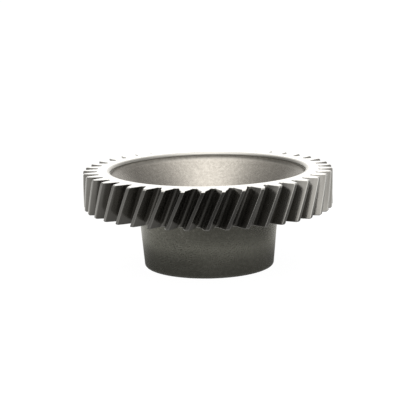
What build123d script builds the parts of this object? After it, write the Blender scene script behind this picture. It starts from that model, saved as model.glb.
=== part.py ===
from build123d import *
import os
from math import acos, atan, cos, degrees, pi, radians, sin, tan

# ---------------------------------------------------------------------------
# Helical gear in three pieces: a toothed ring shrunk on to the register of a
# bell-shaped hub, and a plain bush pressed into the hub's bore.
# Millimetres. +Z up along the gear's axis. The origin is on the axis, in the
# plane of the hub's end face, which is the face the gear rests on.
# ---------------------------------------------------------------------------

# Gear data
teeth = 41
normal_module = 3.0
pressure_angle_n = 20.0            # degrees, in the normal plane
helix_angle = 22.8                 # degrees at the pitch circle, right hand
profile_shift = 0.0
addendum_factor = 1.25             # long teeth, for a high contact ratio
root_r = 62.5
tooth_phase = -1.90                # degrees round from -Y of a tooth's centre at the top face
tooth_end_chamfer = 0.7            # on the outside diameter, at both ends of the teeth

# Heights
ring_bottom_z = 34.2
ring_top_z = 55.5
seam_z = 53.6                      # the ring's inner lip sits here on the hub's rim

# Toothed ring
register_r = 57.0                  # ring bore on the hub's register
mouth_r = 55.2                     # wall inside the mouth
mouth_round = 1.6
seat_chamfer = 0.4

# Hub
hub_bottom_r = 36.75
hub_top_r = 39.8
hub_neck_r = 3.5
hub_foot_r = 1.5
bell_blend_r = 3.0                 # between the mouth's wall and the 45 degree cone
bush_seat_r = 31.0
hub_lead_in = 0.9
seam_chamfer = 0.2

# Bush
bush_bore_r = 28.0
bush_bottom_z = 1.5
bush_top_z = 25.5
bush_chamfer = 0.8
oil_groove_w = 3.0
oil_groove_d = 0.7
oil_groove_z = 13.5

os.makedirs("parts", exist_ok=True)

# ---------------------------------------------------------------------------
# Transverse tooth form
# ---------------------------------------------------------------------------
beta = radians(helix_angle)
m_t = normal_module / cos(beta)
alpha_t = atan(tan(radians(pressure_angle_n)) / cos(beta))
pitch_r = m_t * teeth / 2
tip_r = pitch_r + addendum_factor * normal_module
base_r = pitch_r * cos(alpha_t)
inv_t = tan(alpha_t) - alpha_t
half_at_base = pi / (2 * teeth) + 2 * profile_shift * tan(radians(pressure_angle_n)) / teeth + inv_t
pitch_angle = 360.0 / teeth
face_width = ring_top_z - ring_bottom_z
twist = degrees(face_width * tan(beta) / pitch_r)


def half_angle(r):
    """Half angle in radians of a tooth at radius r."""
    a = acos(min(1.0, base_r / r))
    return half_at_base - (tan(a) - a)


def at(r, angle):
    """Point at radius r and angle in radians from +X."""
    return (r * cos(angle), r * sin(angle))


flank_start_r = root_r + 1.24                    # one round root, tangent to both flanks, starts here
flank_radii = [flank_start_r + (tip_r - flank_start_r) * i / 6 for i in range(7)]
# The lower end of the gear blank starts one whole twist behind the top.
start_angle = -90.0 + tooth_phase - twist
step = 2 * pi / teeth

with BuildSketch(Plane.XY.offset(ring_bottom_z)) as tooth_section:
    with BuildLine():
        for i in range(teeth):
            c = radians(start_angle) + i * step
            right = [at(r, c - half_angle(r)) for r in flank_radii]
            left = [at(r, c + half_angle(r)) for r in reversed(flank_radii)]
            # full-radius root, from the last tooth's left flank to this one's right
            last_left = at(flank_start_r, c - step + half_angle(flank_start_r))
            ThreePointArc(last_left, at(root_r, c - step / 2), right[0])
            Spline(*right)
            ThreePointArc(right[-1], at(tip_r, c), left[0])
            Spline(*left)
    make_face()

# ---------------------------------------------------------------------------
# Toothed ring: the section twisted right hand about the axis, then cut to the
# turned blank, which gives the bore, the seat, the lip and the tooth-end
# chamfers.
# ---------------------------------------------------------------------------
twisted_blank = Solid.extrude_linear_with_rotation(
    section=tooth_section.sketch.faces()[0],
    center=(0, 0, ring_bottom_z),
    normal=(0, 0, face_width),
    angle=twist,
)

with BuildPart() as toothed_ring:
    add(twisted_blank)
    with BuildSketch(Plane.XZ) as turned_blank:
        with BuildLine():
            Polyline(
                (mouth_r, ring_top_z),
                (mouth_r, seam_z + seam_chamfer),
                (mouth_r + seam_chamfer, seam_z),
                (register_r, seam_z),
                (register_r, ring_bottom_z + seat_chamfer),
                (register_r + seat_chamfer, ring_bottom_z),
                (tip_r - tooth_end_chamfer, ring_bottom_z),
                (tip_r + 0.5, ring_bottom_z + (tooth_end_chamfer + 0.5)),
                (tip_r + 0.5, ring_top_z - (tooth_end_chamfer + 0.5)),
                (tip_r - tooth_end_chamfer, ring_top_z),
                (mouth_r, ring_top_z),
            )
        make_face()
        mouth_corner = turned_blank.vertices().filter_by(
            lambda v: abs(v.X - mouth_r) < 0.01 and abs(v.Y - ring_top_z) < 0.01
        )
        fillet(mouth_corner, radius=mouth_round)
    revolve(axis=Axis.Z, mode=Mode.INTERSECT)
toothed_ring.part.label = "toothed_ring"
export_step(toothed_ring.part, "parts/toothed_ring.step")

# ---------------------------------------------------------------------------
# Bell hub: tapered tube below, flange with the ring's register and rim above,
# and inside a short upright wall that blends into a plain 45 degree cone down
# to the bush's seat.
# ---------------------------------------------------------------------------
blend_drop = bell_blend_r * sin(radians(45))
blend_in = bell_blend_r * (1 - cos(radians(45)))
cone_top_z = seam_z - seam_chamfer - blend_drop
cone_top_r = mouth_r - blend_in
seat_top_z = cone_top_z - (cone_top_r - bush_seat_r)

with BuildPart() as bell_hub:
    with BuildSketch(Plane.XZ) as hub_profile:
        with BuildLine():
            Polyline(
                (cone_top_r, cone_top_z),
                (bush_seat_r, seat_top_z),
                (bush_seat_r, 0),
                (hub_bottom_r, 0),
                (hub_top_r, ring_bottom_z),
                (register_r, ring_bottom_z),
                (register_r, seam_z),
                (mouth_r + seam_chamfer, seam_z),
                (mouth_r, seam_z - seam_chamfer),
            )
            TangentArc((mouth_r, seam_z - seam_chamfer), (cone_top_r, cone_top_z), tangent=(0, -1))
        make_face()
        neck = hub_profile.vertices().filter_by(
            lambda v: abs(v.X - hub_top_r) < 0.01 and abs(v.Y - ring_bottom_z) < 0.01
        )
        fillet(neck, radius=hub_neck_r)
        foot = hub_profile.vertices().filter_by(
            lambda v: abs(v.X - hub_bottom_r) < 0.01 and abs(v.Y) < 0.01
        )
        fillet(foot, radius=hub_foot_r)
        lead_in = hub_profile.vertices().filter_by(
            lambda v: abs(v.X - bush_seat_r) < 0.01 and abs(v.Y) < 0.01
        )
        chamfer(lead_in, length=hub_lead_in)
        flange_rim = hub_profile.vertices().filter_by(
            lambda v: abs(v.X - register_r) < 0.01 and abs(v.Y - ring_bottom_z) < 0.01
        )
        chamfer(flange_rim, length=seat_chamfer)
        rim_corner = hub_profile.vertices().filter_by(
            lambda v: abs(v.X - register_r) < 0.01 and abs(v.Y - seam_z) < 0.01
        )
        chamfer(rim_corner, length=0.3)
    revolve(axis=Axis.Z)
bell_hub.part.label = "bell_hub"
export_step(bell_hub.part, "parts/bell_hub.step")

# ---------------------------------------------------------------------------
# Bore bush: a plain sleeve pressed into the hub, with lead-in chamfers and an
# oil groove round the middle of its bore.
# ---------------------------------------------------------------------------
with BuildPart() as bore_bush:
    with BuildSketch(Plane.XY.offset(bush_bottom_z)):
        Circle(bush_seat_r)
        Circle(bush_bore_r, mode=Mode.SUBTRACT)
    extrude(amount=bush_top_z - bush_bottom_z)
    chamfer(bore_bush.edges().filter_by(GeomType.CIRCLE), length=bush_chamfer)
    with BuildSketch(Plane.XZ):
        with Locations((bush_bore_r, oil_groove_z)):
            Rectangle(2 * oil_groove_d, oil_groove_w)
    revolve(axis=Axis.Z, mode=Mode.SUBTRACT)
bore_bush.part.label = "bore_bush"
export_step(bore_bush.part, "parts/bore_bush.step")

print("transverse module %.4f, pitch radius %.3f, base radius %.3f, tip radius %.3f" % (m_t, pitch_r, base_r, tip_r))
print("twist over the face %.3f deg, tip land %.3f" % (twist, 2 * tip_r * half_angle(tip_r)))
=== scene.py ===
import bpy
import math
import numpy as np
from mathutils import Matrix, Vector


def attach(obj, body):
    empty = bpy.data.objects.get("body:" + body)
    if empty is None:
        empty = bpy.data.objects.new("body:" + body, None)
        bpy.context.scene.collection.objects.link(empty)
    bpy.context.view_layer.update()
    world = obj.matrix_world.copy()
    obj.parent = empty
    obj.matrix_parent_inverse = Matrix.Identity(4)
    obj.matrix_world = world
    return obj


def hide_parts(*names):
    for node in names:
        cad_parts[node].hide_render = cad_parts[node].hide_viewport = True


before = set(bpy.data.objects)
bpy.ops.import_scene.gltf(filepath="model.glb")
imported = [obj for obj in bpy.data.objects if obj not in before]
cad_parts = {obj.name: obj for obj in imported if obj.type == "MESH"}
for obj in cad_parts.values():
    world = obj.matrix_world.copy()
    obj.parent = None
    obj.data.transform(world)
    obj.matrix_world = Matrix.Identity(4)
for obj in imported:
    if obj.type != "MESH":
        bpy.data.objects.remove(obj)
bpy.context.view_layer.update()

MM = 0.001

# ---------------------------------------------------------------------------
# Gear data, millimetres, as in the CAD model
# ---------------------------------------------------------------------------
Z = 41
M_N = 3.0
BETA = math.radians(22.8)
ALPHA_N = math.radians(20.0)
ROOT_R = 62.5
PHASE = math.radians(-90.0 - 1.90)     # a tooth's centre at the top face
Z_BOT, Z_TOP, Z_SEAM = 34.2, 55.5, 53.6
REG_R, MOUTH_R = 57.0, 55.2
HUB_TOP_R, HUB_BOT_R = 39.8, 36.75

M_T = M_N / math.cos(BETA)
ALPHA_T = math.atan(math.tan(ALPHA_N) / math.cos(BETA))
PITCH_R = M_T * Z / 2
TIP_R = PITCH_R + 1.25 * M_N
BASE_R = PITCH_R * math.cos(ALPHA_T)
HALF_BASE = math.pi / (2 * Z) + math.tan(ALPHA_T) - ALPHA_T
TWIST_PER_MM = math.tan(BETA) / PITCH_R


def half_angle(r):
    a = math.acos(min(1.0, BASE_R / r))
    return HALF_BASE - (math.tan(a) - a)


# ---------------------------------------------------------------------------
# Mesh helpers
# ---------------------------------------------------------------------------
def round_corner(pts, i, radius, n):
    """Replaces the corner pts[i] of a polyline with an arc of the given radius."""
    p = pts[i]
    a = pts[i - 1] - p
    b = pts[i + 1] - p
    a /= np.linalg.norm(a)
    b /= np.linalg.norm(b)
    turn = math.pi - math.acos(float(np.clip(a @ b, -1, 1)))
    reach = radius * math.tan(turn / 2)

    def walk(k, step):
        left, q = reach, p
        while True:
            nxt = pts[k + step]
            d = np.linalg.norm(nxt - q)
            if d > left + 1e-6:
                return q + (nxt - q) * left / d, k + step
            left -= d
            q = nxt
            k += step

    s, ks = walk(i, -1)
    e, ke = walk(i, 1)
    # cubic that leaves and arrives along the two sides, close to a true arc
    h = 4 / 3 * math.tan(turn / 4) * radius
    ds = (p - s) / np.linalg.norm(p - s) * h
    de = (p - e) / np.linalg.norm(p - e) * h
    arc = []
    for t in np.linspace(0, 1, n + 1):
        arc.append(
            (1 - t) ** 3 * s + 3 * (1 - t) ** 2 * t * (s + ds)
            + 3 * (1 - t) * t ** 2 * (e + de) + t ** 3 * e
        )
    return pts[: ks + 1] + arc + pts[ke:], ks + 1, ks + 1 + n


def tooth_profile():
    """Half of one pitch in the transverse plane, from the tooth's centre to the space's, as (x, y) with the tooth along +X; and each point's zone: 0 tip, 1 flank, 2 root."""
    tip_h = half_angle(TIP_R)
    root_h = half_angle(ROOT_R)
    pts = [np.array([TIP_R * math.cos(a), TIP_R * math.sin(a)]) for a in np.linspace(0, tip_h, 4)]
    corner_tip = len(pts) - 1
    for r in np.linspace(TIP_R, ROOT_R, 15)[1:]:
        a = half_angle(r)
        pts.append(np.array([r * math.cos(a), r * math.sin(a)]))
    corner_root = len(pts) - 1
    for a in np.linspace(root_h, math.pi / Z, 7)[1:]:
        pts.append(np.array([ROOT_R * math.cos(a), ROOT_R * math.sin(a)]))
    pts, rs, re = round_corner(pts, corner_root, 1.40, 10)
    pts, ts, te = round_corner(pts, corner_tip, 0.22, 4)
    zone = []
    for i in range(len(pts)):
        r = float(np.hypot(*pts[i]))
        zone.append(0.0 if i <= ts else (2.0 if r < ROOT_R + 0.30 else 1.0))
    return np.array(pts), np.array(zone), (ts, te)


def full_profile():
    """The whole outline, counter-clockwise: (radius, angle, zone, corner) arrays. Angle 0 is the first tooth's centre."""
    half, zone, (ts, te) = tooth_profile()
    corner = np.zeros(len(half))
    corner[ts:te + 1] = 1.0
    mirrored = half[::-1] * np.array([1, -1])
    pitch = np.vstack([mirrored[1:-1], half])      # from just after the space's centre to the next one's
    zs = np.concatenate([zone[::-1][1:-1], zone])
    cs = np.concatenate([corner[::-1][1:-1], corner])
    r = np.hypot(pitch[:, 0], pitch[:, 1])
    a = np.arctan2(pitch[:, 1], pitch[:, 0])
    rr, aa, zz, cc = [], [], [], []
    for k in range(Z):
        rr.append(r)
        aa.append(a + 2 * math.pi * k / Z)
        zz.append(zs)
        cc.append(cs)
    return np.concatenate(rr), np.concatenate(aa), np.concatenate(zz), np.concatenate(cc)


def grid_mesh(name, rows, wrap_rows, attrs=None):
    """A mesh from rows of points, each row a closed loop. wrap_rows joins the last row to the first."""
    rows = np.asarray(rows)
    m, n, _ = rows.shape
    verts = rows.reshape(-1, 3) * MM
    faces = []
    for i in range(m if wrap_rows else m - 1):
        a, b = i * n, ((i + 1) % m) * n
        for j in range(n):
            k = (j + 1) % n
            faces.append((a + j, a + k, b + k, b + j))
    me = bpy.data.meshes.new(name)
    me.from_pydata(verts.tolist(), [], faces)
    me.update()
    if attrs:
        for key, val in attrs.items():
            at = me.attributes.new(key, "FLOAT", "POINT")
            at.data.foreach_set("value", np.asarray(val, dtype=np.float32).ravel())
    me.validate()
    me.polygons.foreach_set("use_smooth", [True] * len(me.polygons))
    weighted_normals(me)
    ob = bpy.data.objects.new(name, me)
    bpy.context.scene.collection.objects.link(ob)
    return ob


def weighted_normals(me):
    """Vertex normals weighted by face area, so that flat faces stay flat and the narrow rounded edges take the turn."""
    nv, nf = len(me.vertices), len(me.polygons)
    co = np.empty(nv * 3)
    me.vertices.foreach_get("co", co)
    co = co.reshape(-1, 3)
    idx = np.empty(nf * 4, dtype=np.int64)
    me.polygons.foreach_get("vertices", idx)
    idx = idx.reshape(-1, 4)
    d1 = co[idx[:, 2]] - co[idx[:, 0]]
    d2 = co[idx[:, 3]] - co[idx[:, 1]]
    fn = np.cross(d1, d2)                       # length is twice the area
    area = np.linalg.norm(fn, axis=1, keepdims=True)
    fn = fn * area                              # squared weight: wide faces win
    vn = np.zeros_like(co)
    for k in range(4):
        np.add.at(vn, idx[:, k], fn)
    ln = np.linalg.norm(vn, axis=1, keepdims=True)
    ln[ln == 0] = 1
    me.normals_split_custom_set_from_vertices((vn / ln).tolist())


def inset(xy, d):
    """Moves a closed counter-clockwise outline inward by d along its normals."""
    prev, nxt = np.roll(xy, 1, axis=0), np.roll(xy, -1, axis=0)
    t1 = xy - prev
    t2 = nxt - xy
    t1 /= np.linalg.norm(t1, axis=1, keepdims=True)
    t2 /= np.linalg.norm(t2, axis=1, keepdims=True)
    t = t1 + t2
    t /= np.linalg.norm(t, axis=1, keepdims=True)
    nrm = np.stack([-t[:, 1], t[:, 0]], axis=1)
    return xy + nrm * d


# ---------------------------------------------------------------------------
# Toothed ring
# ---------------------------------------------------------------------------
def make_ring():
    r0, a0, zone, corner = full_profile()
    n = len(r0)
    edge_lo, edge_hi = 0.36, 0.24     # rounded breaks on the lower and upper tooth ends
    tip_c = 0.7                       # turned chamfer on the outside diameter
    rows, wear, zones = [], [], []

    def outline(z, d):
        turn = PHASE + (z - Z_TOP) * TWIST_PER_MM
        xy = np.stack([r0 * np.cos(a0 + turn), r0 * np.sin(a0 + turn)], axis=1)
        if d > 0:
            xy = inset(xy, d)
        rr = np.hypot(xy[:, 0], xy[:, 1])
        edge = min(z - Z_BOT, Z_TOP - z)
        limit = TIP_R - max(0.0, tip_c - edge)
        k = np.minimum(1.0, limit / rr)
        return xy * k[:, None]

    def add_row(xy, z, w, zo):
        rows.append(np.column_stack([xy, np.full(n, z)]))
        wear.append(np.full(n, w) if np.isscalar(w) else w)
        zones.append(np.full(n, zo) if np.isscalar(zo) else zo)

    def circle(r, z, w, zo):
        turn = PHASE + (z - Z_TOP) * TWIST_PER_MM
        add_row(np.stack([r * np.cos(a0 + turn), r * np.sin(a0 + turn)], axis=1), z, w, zo)

    # underside, from the register outwards
    circle(REG_R + 0.43, Z_BOT, 0.3, 3.0)
    for r in (REG_R + 0.6, 59.4, 61.3):
        circle(r, Z_BOT, 0.0, 3.0)
    steps = [math.radians(x) for x in (0, 22.5, 45, 67.5, 90)]
    add_row(outline(Z_BOT, edge_lo * 1.25), Z_BOT, 0.15, 3.0)
    for s in steps:
        z = Z_BOT + edge_lo * (1 - math.cos(s))
        add_row(outline(z, edge_lo * (1 - math.sin(s))), z, 1.0 if 0.1 < s < 1.5 else 0.6, zone)
    body_lo, body_hi = Z_BOT + edge_lo, Z_TOP - edge_hi
    inner = np.linspace(body_lo, body_hi, 34)
    extra = [body_lo + 0.12, Z_BOT + tip_c, Z_BOT + tip_c + 0.15]
    zs = sorted(list(inner[1:-1]) + extra + [body_hi - 0.12, Z_TOP - tip_c, Z_TOP - tip_c - 0.15])
    for z in zs:
        add_row(outline(z, 0.0), z, corner * 0.8, zone)
    for s in reversed(steps):
        z = Z_TOP - edge_hi * (1 - math.cos(s))
        add_row(outline(z, edge_hi * (1 - math.sin(s))), z, 1.0 if 0.1 < s < 1.5 else 0.6, zone)
    add_row(outline(Z_TOP, edge_hi * 1.25), Z_TOP, 0.15, 3.0)
    for r in (61.3, 60.2, 58.8):
        circle(r, Z_TOP, 0.0, 3.0)
    # rounding from the face into the mouth's wall
    rnd = 1.6
    circle(MOUTH_R + rnd + 0.2, Z_TOP, 0.05, 3.0)
    for k in range(13):
        q = math.pi / 2 * k / 12
        circle(MOUTH_R + rnd - rnd * math.sin(q), Z_TOP - rnd * (1 - math.cos(q)), 0.15 if k < 7 else 0.0, 4.0)
    circle(MOUTH_R, Z_SEAM + 0.26, 0.0, 4.0)
    # lower edge of the lip, at the joint
    circle(MOUTH_R + 0.02, Z_SEAM + 0.19, 0.3, 4.0)
    circle(MOUTH_R + 0.08, Z_SEAM + 0.10, 0.3, 4.0)
    circle(MOUTH_R + 0.20, Z_SEAM, 0.2, 4.0)
    circle(MOUTH_R + 0.30, Z_SEAM, 0.0, 3.0)
    circle(REG_R - 0.1, Z_SEAM, 0.0, 3.0)
    circle(REG_R, Z_SEAM, 0.0, 3.0)
    circle(REG_R, Z_SEAM - 0.1, 0.0, 3.0)
    circle(REG_R, 44.0, 0.0, 3.0)
    circle(REG_R, Z_BOT + 0.46, 0.0, 3.0)
    circle(REG_R + 0.03, Z_BOT + 0.38, 0.6, 3.0)
    circle(REG_R + 0.37, Z_BOT + 0.04, 0.6, 3.0)
    ob = grid_mesh("ring_body", rows, True, {"wear": wear, "zone": zones})
    return ob


def turned(name, profile, segs, wears=None, inner=None, close=True):
    """A turned piece: a closed profile of (r, z) in millimetres, spun about Z. The profile runs so that its inside is on the left."""
    prof = np.asarray(profile, dtype=float)
    a = np.linspace(0, 2 * math.pi, segs, endpoint=False)
    rows = [np.column_stack([r * np.cos(a), r * np.sin(a), np.full(segs, z)]) for r, z in prof]
    attrs = None
    if wears is not None:
        attrs = {"wear": [np.full(segs, w) for w in wears]}
        if inner is not None:
            attrs["inner"] = [np.full(segs, w) for w in inner]
    return grid_mesh(name, rows, close, attrs)


def arc(cx, cz, r, a0, a1, n):
    return [(cx + r * math.cos(math.radians(a0 + (a1 - a0) * i / n)), cz + r * math.sin(math.radians(a0 + (a1 - a0) * i / n))) for i in range(n + 1)]


def spaced(p, q, ts):
    return [(p[0] + (q[0] - p[0]) * t, p[1] + (q[1] - p[1]) * t) for t in ts]


def make_hub():
    """Tapered tube, flange and inner cone, as one turned solid. The profile runs anticlockwise in (r, z)."""
    prof, wear = [], []

    def add(points, w):
        for p in points:
            prof.append(p)
            wear.append(w)

    taper = math.atan2(HUB_TOP_R - HUB_BOT_R, Z_BOT)

    def taper_r(z):
        return HUB_BOT_R + (HUB_TOP_R - HUB_BOT_R) * z / Z_BOT

    # end face, outwards
    add([(31.9, 0.0)], 0.5)
    add([(32.1, 0.0), (34.0, 0.0), (35.7, 0.0)], 0.05)
    # rounded foot
    rf = 1.5
    cx = taper_r(rf) - rf / math.cos(taper)
    add(arc(cx, rf, rf, -90, -math.degrees(taper), 8), 0.5)
    # taper up to the neck
    rn = 3.5
    nz = Z_BOT - rn
    ncx = taper_r(nz) + rn / math.cos(taper)
    z0 = rf - rf * math.sin(taper)
    z1 = nz - rn * math.sin(taper)
    add([(taper_r(z), z) for z in (z0 + (z1 - z0) * t for t in (0.012, 0.1, 0.2, 0.3, 0.4, 0.5, 0.6, 0.7, 0.8, 0.9, 0.99))], 0.0)
    add(arc(ncx, nz, rn, 180 - math.degrees(taper), 90, 12), 0.0)
    add([(ncx + 0.1, Z_BOT), (50.0, Z_BOT), (REG_R - 0.5, Z_BOT)], 0.0)
    add([(REG_R - 0.43, Z_BOT)], 0.3)
    add([(REG_R - 0.37, Z_BOT + 0.04), (REG_R - 0.03, Z_BOT + 0.38)], 0.6)
    add([(REG_R, Z_BOT + 0.46), (REG_R, 44.0), (REG_R, Z_SEAM - 0.35)], 0.0)
    add([(REG_R - 0.02, Z_SEAM - 0.28), (REG_R - 0.28, Z_SEAM - 0.02)], 0.3)
    add([(REG_R - 0.35, Z_SEAM), (MOUTH_R + 0.30, Z_SEAM)], 0.0)
    # upper edge of the rim, at the joint
    add([(MOUTH_R + 0.20, Z_SEAM)], 0.2)
    add([(MOUTH_R + 0.08, Z_SEAM - 0.08), (MOUTH_R + 0.02, Z_SEAM - 0.15)], 0.3)
    # upright wall blending into the cone
    first_inner = len(prof)
    rb = 3.0
    bz = Z_SEAM - 0.2
    add([(MOUTH_R - rb + x, z) for x, z in arc(0.0, bz, rb, 0, -45, 12)], 0.0)
    p = (MOUTH_R - rb * (1 - math.cos(math.pi / 4)), bz - rb * math.sin(math.pi / 4))
    z_seat = p[1] - (p[0] - 31.0)
    q = (31.55, z_seat + 0.55)
    add(spaced(p, q, [0.02, 0.1, 0.2, 0.3, 0.4, 0.5, 0.6, 0.7, 0.8, 0.9, 0.985]), 0.0)
    add([(31.5, z_seat + 0.47), (31.2, z_seat + 0.10), (31.05, z_seat - 0.2), (31.0, z_seat - 0.4)], 0.4)
    add([(31.0, z_seat - 0.5), (31.0, 20.0), (31.0, 10.0), (31.0, 1.0)], 0.0)
    add([(31.0, 0.9)], 0.5)
    inner = [1.0 if i >= first_inner else 0.0 for i in range(len(prof))]
    return turned("hub_body", prof, 384, wear, inner)


def make_bush():
    prof, wear = [], []

    def add(points, w):
        for p in points:
            prof.append(p)
            wear.append(w)

    lo, hi, g = 1.5, 25.5, 13.5
    add([(28.82, lo), (28.9, lo), (30.1, lo), (30.18, lo)], 0.2)
    add([(30.25, lo + 0.03), (30.97, lo + 0.75), (31.0, lo + 0.82)], 0.6)
    add([(31.0, lo + 0.9), (31.0, hi - 0.9)], 0.0)
    add([(31.0, hi - 0.82), (30.97, hi - 0.75), (30.25, hi - 0.03), (30.18, hi)], 0.6)
    add([(30.1, hi), (28.9, hi), (28.82, hi)], 0.2)
    add([(28.75, hi - 0.03), (28.03, hi - 0.75), (28.0, hi - 0.82)], 0.6)
    add([(28.0, hi - 0.9), (28.0, 20.0), (28.0, g + 1.62)], 0.0)
    add([(28.02, g + 1.54), (28.08, g + 1.5)], 0.6)
    add([(28.2, g + 1.5), (28.6, g + 1.5), (28.7, g + 1.4), (28.7, g - 1.4), (28.6, g - 1.5), (28.2, g - 1.5)], 0.0)
    add([(28.08, g - 1.5), (28.02, g - 1.54)], 0.6)
    add([(28.0, g - 1.62), (28.0, 7.0), (28.0, lo + 0.9)], 0.0)
    add([(28.0, lo + 0.82), (28.03, lo + 0.75), (28.75, lo + 0.03)], 0.6)
    return turned("bush_body", prof, 256, wear)


# ---------------------------------------------------------------------------
# Materials
# ---------------------------------------------------------------------------
class Tree:
    """Short calls to lay out a node material."""

    def __init__(self, name):
        self.mat = bpy.data.materials.new(name)
        self.mat.use_nodes = True
        self.nt = self.mat.node_tree
        self.nt.nodes.clear()
        self.out = self.nt.nodes.new("ShaderNodeOutputMaterial")
        self.bsdf = self.nt.nodes.new("ShaderNodeBsdfPrincipled")
        self.nt.links.new(self.bsdf.outputs[0], self.out.inputs["Surface"])
        self.coord = self.nt.nodes.new("ShaderNodeTexCoord")

    def link(self, a, b):
        self.nt.links.new(a, b)

    def put(self, sock, v):
        if hasattr(v, "is_output") or isinstance(v, bpy.types.NodeSocket):
            self.link(v, sock)
        else:
            sock.default_value = v

    def math(self, op, a, b=0.0, c=None, clamp=False):
        n = self.nt.nodes.new("ShaderNodeMath")
        n.operation = op
        n.use_clamp = clamp
        self.put(n.inputs[0], a)
        self.put(n.inputs[1], b)
        if c is not None:
            self.put(n.inputs[2], c)
        return n.outputs[0]

    def ramp(self, x, lo, hi, a=0.0, b=1.0):
        n = self.nt.nodes.new("ShaderNodeMapRange")
        n.clamp = True
        self.put(n.inputs["Value"], x)
        n.inputs["From Min"].default_value = lo
        n.inputs["From Max"].default_value = hi
        n.inputs["To Min"].default_value = a
        n.inputs["To Max"].default_value = b
        return n.outputs["Result"]

    def noise(self, vec, scale, detail=4.0, rough=0.55, dist=0.0):
        n = self.nt.nodes.new("ShaderNodeTexNoise")
        n.inputs["Scale"].default_value = scale
        n.inputs["Detail"].default_value = detail
        n.inputs["Roughness"].default_value = rough
        n.inputs["Distortion"].default_value = dist
        self.link(vec, n.inputs["Vector"])
        return n.outputs["Fac"]

    def mix(self, fac, a, b):
        n = self.nt.nodes.new("ShaderNodeMix")
        n.data_type = "RGBA"
        self.put(n.inputs[0], fac)
        self.put(n.inputs[6], a)
        self.put(n.inputs[7], b)
        return n.outputs[2]

    def attr(self, name):
        n = self.nt.nodes.new("ShaderNodeAttribute")
        n.attribute_name = name
        return n.outputs["Fac"]

    def xyz(self):
        n = self.nt.nodes.new("ShaderNodeSeparateXYZ")
        self.link(self.coord.outputs["Object"], n.inputs[0])
        return n.outputs

    def combine(self, x, y, z):
        n = self.nt.nodes.new("ShaderNodeCombineXYZ")
        self.put(n.inputs[0], x)
        self.put(n.inputs[1], y)
        self.put(n.inputs[2], z)
        return n.outputs[0]

    def bump(self, h, dist, strength=1.0, normal=None):
        n = self.nt.nodes.new("ShaderNodeBump")
        n.inputs["Strength"].default_value = strength
        n.inputs["Distance"].default_value = dist
        self.link(h, n.inputs["Height"])
        if normal is not None:
            self.link(normal, n.inputs["Normal"])
        return n.outputs[0]


def rgb(r, g, b):
    return (r, g, b, 1.0)


def steel_ring():
    t = Tree("gear_steel")
    obj = t.coord.outputs["Object"]
    x, y, z = t.xyz()
    r = t.math("SQRT", t.math("ADD", t.math("MULTIPLY", x, x), t.math("MULTIPLY", y, y)))
    ang = t.math("ARCTAN2", y, x)
    # distance across the tooth's direction, metres, at the pitch circle
    across = t.math("SUBTRACT", t.math("MULTIPLY", ang, PITCH_R * MM), t.math("MULTIPLY", z, math.tan(BETA)))
    hob = t.combine(t.math("MULTIPLY", across, 1.0), t.math("MULTIPLY", z, 0.04), t.math("MULTIPLY", r, 1.0))
    streak = t.noise(hob, 2600.0, 3.0, 0.6)
    broad = t.noise(obj, 60.0, 3.0, 0.5)
    fine = t.noise(obj, 2400.0, 4.0, 0.7)
    wear = t.attr("wear")
    zone = t.attr("zone")
    face = t.math("MULTIPLY", t.ramp(zone, 2.6, 2.9), t.ramp(zone, 3.1, 3.4, 1.0, 0.0))
    tip = t.ramp(zone, 0.3, 0.6, 1.0, 0.0)
    base = t.mix(t.ramp(broad, 0.35, 0.65), rgb(0.225, 0.220, 0.208), rgb(0.275, 0.268, 0.252))
    base = t.mix(t.math("MULTIPLY", t.ramp(streak, 0.35, 0.7), 0.35), base, rgb(0.34, 0.335, 0.32))
    base = t.mix(t.math("MULTIPLY", tip, 0.55), base, rgb(0.44, 0.435, 0.42))
    base = t.mix(t.math("MULTIPLY", face, 0.75), base, rgb(0.58, 0.58, 0.575))
    mouth = t.ramp(zone, 3.4, 3.9)
    base = t.mix(t.math("MULTIPLY", mouth, 0.50), base, rgb(0.52, 0.51, 0.48))
    base = t.mix(t.math("MULTIPLY", wear, t.ramp(fine, 0.3, 0.6, 0.35, 0.8)), base, rgb(0.62, 0.615, 0.60))
    t.link(base, t.bsdf.inputs["Base Color"])
    t.bsdf.inputs["Metallic"].default_value = 1.0
    rough = t.math("ADD", t.ramp(streak, 0.3, 0.7, 0.19, 0.25), t.ramp(fine, 0.3, 0.7, -0.03, 0.03))
    rough = t.math("ADD", rough, t.math("MULTIPLY", mouth, 0.14))
    t.link(rough, t.bsdf.inputs["Roughness"])
    h = t.math("ADD", t.math("MULTIPLY", streak, 0.7), t.math("MULTIPLY", fine, 0.3))
    t.link(t.bump(h, 0.00003, 0.6), t.bsdf.inputs["Normal"])
    return t.mat


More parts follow.
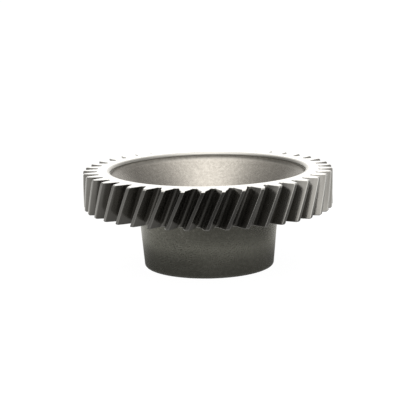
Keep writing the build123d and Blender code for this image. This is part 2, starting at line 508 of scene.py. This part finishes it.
def steel_hub():
    t = Tree("hub_steel")
    obj = t.coord.outputs["Object"]
    x, y, z = t.xyz()
    grain = t.noise(obj, 1500.0, 5.0, 0.65)
    mottle = t.noise(obj, 620.0, 4.0, 0.62)
    pit = t.noise(obj, 3800.0, 3.0, 0.6)
    broad = t.noise(obj, 45.0, 4.0, 0.55)
    wear = t.attr("wear")
    inner = t.attr("inner")
    outer = t.mix(t.ramp(broad, 0.3, 0.7), rgb(0.216, 0.216, 0.186), rgb(0.256, 0.255, 0.222))
    bell = t.mix(t.ramp(broad, 0.3, 0.7), rgb(0.230, 0.215, 0.196), rgb(0.268, 0.251, 0.229))
    # painted light and shade in soft bands round the taper: painted shade at the top under the ring's overhang, a
    # painted floor reflection across the middle and light painted shade low down
    band = t.math("ADD", z, t.ramp(broad, 0.3, 0.7, -0.0018, 0.0018))
    painted_overhang_shade = t.ramp(band, 0.0175, 0.0265, 0.0, 0.62)
    painted_floor_reflection = t.math("MULTIPLY", t.ramp(band, 0.0095, 0.0165), t.ramp(band, 0.0165, 0.0225, 1.0, 0.0))
    painted_low_shade = t.ramp(band, 0.0060, 0.0120, 0.16, 0.0)
    # lighter middle band: painted reflection of the floor
    outer = t.mix(t.math("MULTIPLY", painted_floor_reflection, 0.60), outer, rgb(0.40, 0.40, 0.345))
    # darker top and foot: painted shade, the top one where the ring overhangs
    outer = t.mix(t.math("ADD", painted_overhang_shade, painted_low_shade), outer, rgb(0.095, 0.094, 0.080))
    # turned band just under the joint, brighter and duller than the cone
    lip = t.math("MULTIPLY", inner, t.ramp(z, 0.0503, 0.0528))
    bell = t.mix(t.math("MULTIPLY", lip, 0.40), bell, rgb(0.50, 0.485, 0.45))
    base = t.mix(inner, outer, bell)
    base = t.mix(t.math("MULTIPLY", t.ramp(grain, 0.42, 0.62), 0.40), base, t.mix(inner, rgb(0.33, 0.325, 0.29), rgb(0.34, 0.325, 0.292)))
    base = t.mix(t.ramp(mottle, 0.34, 0.5, 0.28, 0.0), base, rgb(0.13, 0.125, 0.112))
    base = t.mix(t.ramp(mottle, 0.52, 0.68, 0.0, 0.26), base, rgb(0.44, 0.428, 0.392))
    base = t.mix(t.math("MULTIPLY", wear, t.ramp(pit, 0.3, 0.6, 0.2, 0.6)), base, rgb(0.52, 0.51, 0.49))
    t.link(base, t.bsdf.inputs["Base Color"])
    t.bsdf.inputs["Metallic"].default_value = 1.0
    t.link(t.math("ADD", t.ramp(grain, 0.3, 0.7, 0.20, 0.32), t.math("MULTIPLY", lip, 0.15)), t.bsdf.inputs["Roughness"])
    h = t.math("ADD", t.math("MULTIPLY", grain, 0.5), t.math("ADD", t.math("MULTIPLY", pit, 0.2), t.math("MULTIPLY", mottle, 0.5)))
    t.link(t.bump(h, 0.00008, 0.8), t.bsdf.inputs["Normal"])
    return t.mat


def bronze():
    t = Tree("bush_bronze")
    obj = t.coord.outputs["Object"]
    x, y, z = t.xyz()
    turned_v = t.combine(0.0, 0.0, z)
    lines = t.noise(turned_v, 5200.0, 2.0, 0.5)
    broad = t.noise(obj, 90.0, 3.0, 0.5)
    fine = t.noise(obj, 2000.0, 3.0, 0.6)
    wear = t.attr("wear")
    base = t.mix(t.ramp(broad, 0.35, 0.65), rgb(0.46, 0.30, 0.13), rgb(0.56, 0.38, 0.18))
    base = t.mix(t.math("MULTIPLY", t.ramp(lines, 0.4, 0.6), 0.3), base, rgb(0.66, 0.48, 0.26))
    base = t.mix(t.math("MULTIPLY", wear, 0.5), base, rgb(0.78, 0.60, 0.36))
    t.link(base, t.bsdf.inputs["Base Color"])
    t.bsdf.inputs["Metallic"].default_value = 1.0
    t.link(t.ramp(fine, 0.3, 0.7, 0.28, 0.40), t.bsdf.inputs["Roughness"])
    t.link(t.bump(lines, 0.00002, 0.7), t.bsdf.inputs["Normal"])
    return t.mat


# ---------------------------------------------------------------------------
# Pieces
# ---------------------------------------------------------------------------
ring = make_ring()
hub = make_hub()
bush = make_bush()
for ob, mat, node, slot in (
    (ring, steel_ring(), "toothed_ring", "gear_steel"),
    (hub, steel_hub(), "bell_hub", "hub_steel"),
    (bush, bronze(), "bore_bush", "bush_bronze"),
):
    ob.data.materials.append(mat)
    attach(ob, "root")
    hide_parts(node)

# ---------------------------------------------------------------------------
# Floor, light and camera
# ---------------------------------------------------------------------------
class Field:
    """A grey level laid out round the vertical axis: rows of values by azimuth (from the front, -Y, towards +X), blended along a second coordinate."""

    def __init__(self, nt):
        self.nt = nt

    def put(self, sock, v):
        if isinstance(v, bpy.types.NodeSocket):
            self.nt.links.new(v, sock)
        else:
            sock.default_value = v

    def op(self, kind, a, b=0.0, clamp=False):
        n = self.nt.nodes.new("ShaderNodeMath")
        n.operation = kind
        n.use_clamp = clamp
        self.put(n.inputs[0], a)
        self.put(n.inputs[1], b)
        return n.outputs[0]

    def azimuth(self, x, y):
        turn = self.op("ARCTAN2", x, self.op("MULTIPLY", y, -1.0))
        return self.op("FRACT", self.op("ADD", self.op("MULTIPLY", turn, 0.5 / math.pi), 1.0))

    def ring(self, u, values, top):
        n = self.nt.nodes.new("ShaderNodeValToRGB")
        cr = n.color_ramp
        cr.interpolation = "LINEAR"
        vals = list(values) + [values[0]]
        last = len(vals) - 1
        for i, v in enumerate(vals):
            if i == 0:
                e = cr.elements[0]
            elif i == last:
                e = cr.elements[len(cr.elements) - 1]
                e.position = 1.0
            else:
                e = cr.elements.new(i / last)
            g = v / top
            e.color = (g, g, g, 1.0)
        cr.elements[0].position = 0.0
        self.nt.links.new(u, n.inputs[0])
        bw = self.nt.nodes.new("ShaderNodeRGBToBW")
        self.nt.links.new(n.outputs[0], bw.inputs[0])
        return bw.outputs[0]

    def build(self, u, t, knots, rows):
        top = max(max(r) for r in rows)
        level = self.ring(u, rows[0], top)
        for k in range(1, len(rows)):
            step = self.nt.nodes.new("ShaderNodeMapRange")
            step.clamp = True
            step.inputs["From Min"].default_value = knots[k - 1]
            step.inputs["From Max"].default_value = knots[k]
            step.inputs["To Min"].default_value = 0.0
            step.inputs["To Max"].default_value = 1.0
            self.nt.links.new(t, step.inputs["Value"])
            nxt = self.ring(u, rows[k], top)
            level = self.op("ADD", level, self.op("MULTIPLY", step.outputs["Result"], self.op("SUBTRACT", nxt, level)))
        return self.op("MULTIPLY", level, top)


# Levels of the room, by height in degrees and by azimuth in eighths of a turn
SKY_KNOTS = (0.0, 12.0, 30.0, 55.0, 90.0)
SKY = (
    (0.00, 0.40, 0.86, 1.47, 2.06, 1.46, 0.15, 0.00),
    (0.62, 0.78, 0.63, 0.81, 1.73, 0.69, 0.17, 0.31),
    (1.59, 0.95, 0.41, 0.43, 1.88, 0.37, 0.17, 1.10),
    (2.74, 1.89, 0.75, 0.89, 2.10, 1.16, 0.78, 2.22),
    (3.60, 3.60, 3.60, 3.60, 3.60, 3.60, 3.60, 3.60),
)
# Painted bounce light: the glow the floor gives off towards the gear in place of its reflected light, by distance from
# the axis in metres and by eighths of a turn
FLOOR_KNOTS = (0.045, 0.082, 0.105, 0.14, 0.22, 0.60)
FLOOR = (
    (0.17, 0.17, 0.17, 0.17, 0.17, 0.17, 0.17, 0.17),
    (0.31, 0.29, 0.26, 0.51, 0.75, 0.50, 0.24, 0.21),
    (0.38, 0.34, 0.31, 0.68, 1.04, 0.92, 0.98, 0.76),
    (0.27, 0.28, 0.29, 0.72, 1.16, 0.80, 0.42, 0.28),
    (0.04, 0.15, 0.26, 0.83, 1.39, 1.00, 0.58, 0.30),
    (0.00, 0.17, 0.35, 0.86, 1.37, 0.78, 0.18, 0.08),
)
FLOOR_GLOW = 0.975
FLOOR_PAPER = 0.055


def make_floor():
    me = bpy.data.meshes.new("floor")
    s = 6.0
    me.from_pydata([(-s, -s, 0), (s, -s, 0), (s, s, 0), (-s, s, 0)], [], [(0, 1, 2, 3)])
    ob = bpy.data.objects.new("floor", me)
    bpy.context.scene.collection.objects.link(ob)
    mat = bpy.data.materials.new("floor_white")
    mat.use_nodes = True
    nt = mat.node_tree
    nt.nodes.clear()
    f = Field(nt)
    out = nt.nodes.new("ShaderNodeOutputMaterial")
    mixer = nt.nodes.new("ShaderNodeMixShader")
    path = nt.nodes.new("ShaderNodeLightPath")
    seen = nt.nodes.new("ShaderNodeAddShader")
    glow = nt.nodes.new("ShaderNodeEmission")
    glow.inputs["Color"].default_value = (1, 1, 1, 1)
    glow.inputs["Strength"].default_value = FLOOR_GLOW
    paper = nt.nodes.new("ShaderNodeBsdfDiffuse")
    paper.inputs["Color"].default_value = (FLOOR_PAPER, FLOOR_PAPER, FLOOR_PAPER, 1)
    tc = nt.nodes.new("ShaderNodeTexCoord")
    sep = nt.nodes.new("ShaderNodeSeparateXYZ")
    nt.links.new(tc.outputs["Object"], sep.inputs[0])
    x, y = sep.outputs[0], sep.outputs[1]
    r = f.op("SQRT", f.op("ADD", f.op("MULTIPLY", x, x), f.op("MULTIPLY", y, y)))
    # the floor glows with this painted bounce light for every ray but camera rays
    back = nt.nodes.new("ShaderNodeEmission")
    back.inputs["Color"].default_value = (1.0, 0.985, 0.95, 1)
    nt.links.new(f.build(f.azimuth(x, y), r, FLOOR_KNOTS, FLOOR), back.inputs["Strength"])
    nt.links.new(path.outputs["Is Camera Ray"], mixer.inputs[0])
    nt.links.new(back.outputs[0], mixer.inputs[1])
    nt.links.new(glow.outputs[0], seen.inputs[0])
    nt.links.new(paper.outputs[0], seen.inputs[1])
    nt.links.new(seen.outputs[0], mixer.inputs[2])
    # only the upper side shows, so that the gear can be looked at from below
    side = nt.nodes.new("ShaderNodeNewGeometry")
    clear = nt.nodes.new("ShaderNodeBsdfTransparent")
    one_sided = nt.nodes.new("ShaderNodeMixShader")
    nt.links.new(side.outputs["Backfacing"], one_sided.inputs[0])
    nt.links.new(mixer.outputs[0], one_sided.inputs[1])
    nt.links.new(clear.outputs[0], one_sided.inputs[2])
    nt.links.new(one_sided.outputs[0], out.inputs["Surface"])
    me.materials.append(mat)
    return ob


make_floor()

world = bpy.data.worlds.new("studio")
bpy.context.scene.world = world
world.use_nodes = True
nt = world.node_tree
nt.nodes.clear()
w_out = nt.nodes.new("ShaderNodeOutputWorld")
w_mix = nt.nodes.new("ShaderNodeMixShader")
w_cam = nt.nodes.new("ShaderNodeBackground")
w_cam.inputs["Color"].default_value = (1, 1, 1, 1)
w_cam.inputs["Strength"].default_value = 1.02
w_env = nt.nodes.new("ShaderNodeBackground")
w_env.inputs["Color"].default_value = (1.0, 0.985, 0.955, 1)
w_path = nt.nodes.new("ShaderNodeLightPath")
w_tc = nt.nodes.new("ShaderNodeTexCoord")
w_sep = nt.nodes.new("ShaderNodeSeparateXYZ")
nt.links.new(w_tc.outputs["Generated"], w_sep.inputs[0])
sky = Field(nt)
height = sky.op("MULTIPLY", sky.op("ARCSINE", w_sep.outputs[2]), 180.0 / math.pi)
sky_u = sky.azimuth(w_sep.outputs[0], w_sep.outputs[1])
nt.links.new(sky.build(sky_u, height, SKY_KNOTS, SKY), w_env.inputs["Strength"])
nt.links.new(w_path.outputs["Is Camera Ray"], w_mix.inputs[0])
nt.links.new(w_env.outputs[0], w_mix.inputs[1])
nt.links.new(w_cam.outputs[0], w_mix.inputs[2])
nt.links.new(w_mix.outputs[0], w_out.inputs["Surface"])

# Camera
R = TIP_R * MM
D, H, PAN, TILT, ROLL, F = 11.8, 2.0595, 0.00103, 0.19982, -0.01844, 1491.0
cam_data = bpy.data.cameras.new("camera")
cam = bpy.data.objects.new("camera", cam_data)
bpy.context.scene.collection.objects.link(cam)
bpy.context.scene.camera = cam
fw = Vector((math.sin(PAN) * math.cos(TILT), math.cos(PAN) * math.cos(TILT), -math.sin(TILT)))
rt = Vector((math.cos(PAN), -math.sin(PAN), 0.0))
up = rt.cross(fw)
r2 = math.cos(ROLL) * rt + math.sin(ROLL) * up
u2 = -math.sin(ROLL) * rt + math.cos(ROLL) * up
cam.rotation_mode = "QUATERNION"
cam.rotation_quaternion = Matrix((r2, u2, -fw)).transposed().to_quaternion()
cam.location = (0.0, -D * R, 0.05453 + H * R)
cam_data.sensor_width = 36.0
cam_data.sensor_fit = "HORIZONTAL"
cam_data.lens = F / 420.0 * 36.0
cam_data.clip_start = 0.01
cam_data.clip_end = 50.0

bpy.context.scene.view_settings.view_transform = "Standard"
bpy.context.scene.view_settings.look = "None"
